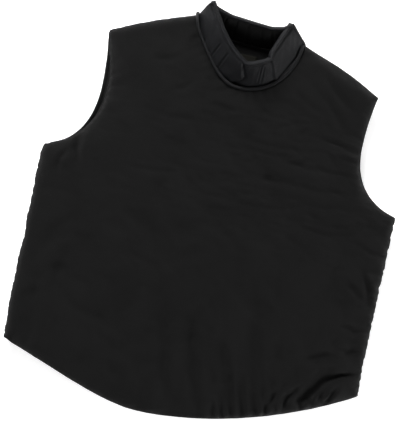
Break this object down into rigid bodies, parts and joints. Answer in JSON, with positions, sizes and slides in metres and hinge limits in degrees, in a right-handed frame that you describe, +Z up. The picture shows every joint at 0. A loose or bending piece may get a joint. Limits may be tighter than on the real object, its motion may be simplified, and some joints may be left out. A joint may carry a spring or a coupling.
{
  "type": "chest protector",
  "caption": "Padded sleeveless body vest with a quilted stand-up collar, sewn at one side and shoulder and closed by tucked hook-and-loop flaps at the other.",
  "frame": {"origin": "centre of the bounding box's lower face, on the surface the back lies on", "axes": "+X towards the wearer's left side, +Y towards the collar, +Z up from the back to the front of the vest as it lies flat"},
  "size_m": [0.594, 0.673, 0.0659],
  "materials": {
    "shell_fabric": "matt woven synthetic with a slight sheen",
    "collar_fabric": "twill weave, matt",
    "lining_fabric": "smooth plain weave, dark",
    "flap_fabric": "plain weave, matt",
    "foam": "closed-cell foam, matt",
    "binding_tape": "folded woven tape",
    "piping_cord": "fabric-covered cord",
    "hook_and_loop": "hook-and-loop tape",
    "label_fabric": "blank woven label"
  },
  "bodies": {
    "vest_back": {"back_outer_shell": "shell_fabric", "back_foam_pad": "foam", "back_lining": "lining_fabric", "right_side_shell": "shell_fabric", "right_side_foam": "foam", "right_side_lining": "lining_fabric", "right_shoulder_shell": "shell_fabric", "right_shoulder_foam": "foam", "right_shoulder_lining": "lining_fabric", "front_right_shell": "shell_fabric", "front_right_foam": "foam", "front_right_lining": "lining_fabric", "back_hem_binding": "binding_tape", "front_right_hem_binding": "binding_tape", "right_armhole_back_binding": "binding_tape", "right_armhole_front_binding": "binding_tape", "left_armhole_back_binding": "binding_tape", "side_flap_fold": "flap_fabric", "shoulder_flap_fold": "flap_fabric", "collar_back_shell": "collar_fabric", "collar_back_foam": "foam", "collar_back_lining": "lining_fabric", "collar_back_binding": "binding_tape", "collar_right_return": "collar_fabric", "collar_left_tab": "collar_fabric", "collar_loop_patch": "hook_and_loop", "back_neck_piping": "piping_cord", "neck_label": "label_fabric"},
    "front_flap": {"front_outer_shell": "shell_fabric", "front_foam_pad": "foam", "front_lining": "lining_fabric", "front_hem_binding": "binding_tape", "left_armhole_front_binding": "binding_tape", "front_edge_binding": "binding_tape", "side_hook_tape": "hook_and_loop", "shoulder_hook_tape": "hook_and_loop", "collar_front_shell": "collar_fabric", "collar_front_foam": "foam", "collar_front_lining": "lining_fabric", "collar_front_binding": "binding_tape", "collar_hook_patch": "hook_and_loop", "front_neck_piping": "piping_cord"},
    "side_closure": {"side_closure_flap": "flap_fabric", "side_loop_tape": "hook_and_loop"},
    "shoulder_closure": {"shoulder_closure_flap": "flap_fabric", "shoulder_loop_tape": "hook_and_loop"}
  },
  "joints": [
    {"name": "front_open", "type": "hinge", "parent": "vest_back", "child": "front_flap", "pos_m": [-0.092, 0, 0.034], "axis": [0, -1, 0], "range_deg": [0, 100]},
    {"name": "side_flap_unfold", "type": "hinge", "parent": "vest_back", "child": "side_closure", "pos_m": [0.28, 0, 0.0197], "axis": [0, 1, 0], "range_deg": [0, 95]},
    {"name": "shoulder_flap_unfold", "type": "hinge", "parent": "vest_back", "child": "shoulder_closure", "pos_m": [0.15174, 0.26174, 0.0197], "axis": [-0.9175, 0.3977, 0], "range_deg": [0, 95]}
  ],
  "couplings": [
    {"joint": "side_flap_unfold", "follows": "front_open", "ratio": 0.9},
    {"joint": "shoulder_flap_unfold", "follows": "front_open", "ratio": 0.9}
  ]
}
